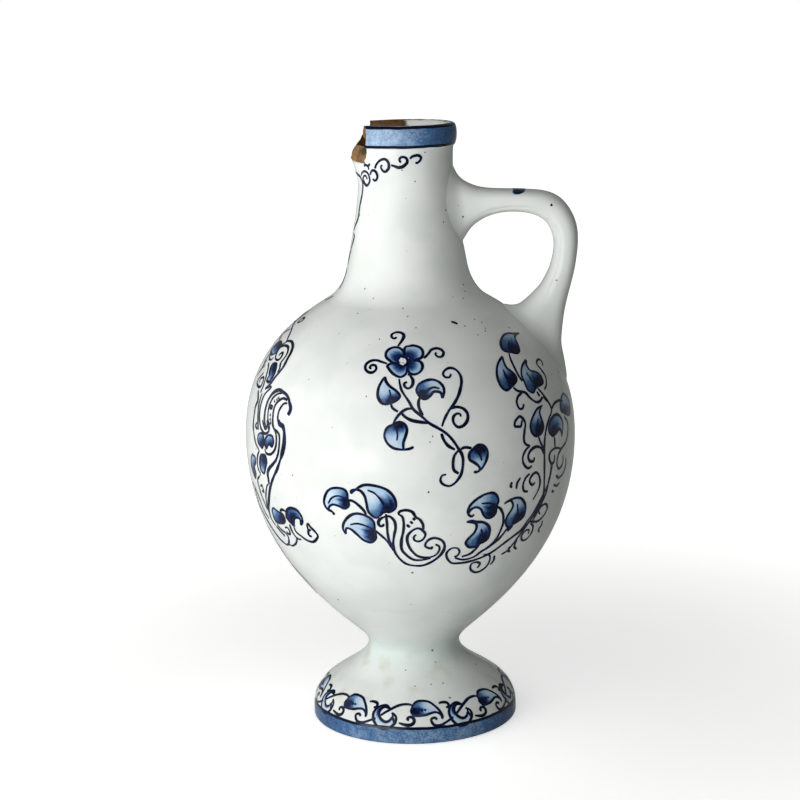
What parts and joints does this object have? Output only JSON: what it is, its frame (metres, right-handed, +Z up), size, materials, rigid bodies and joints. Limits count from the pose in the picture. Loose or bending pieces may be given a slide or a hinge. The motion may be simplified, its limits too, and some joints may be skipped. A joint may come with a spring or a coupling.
{
  "type": "delftware carafe",
  "caption": "Tin-glazed earthenware jug with a spreading foot, ovoid belly, tapering neck, loop handle and the broken-off root of a pouring lip.",
  "frame": {"origin": "on the thrown axis, in the plane that the foot ring stands on", "axes": "+Z up along the thrown axis, +X towards the handle, -X towards the broken pouring lip"},
  "size_m": [0.1386, 0.137, 0.25],
  "materials": {
    "tin_glaze": "gloss",
    "bare_clay": "matt"
  },
  "bodies": {
    "root": {"foot": "tin_glaze", "belly": "tin_glaze", "neck": "tin_glaze", "spout_root": "bare_clay", "handle": "tin_glaze"}
  },
  "joints": []
}
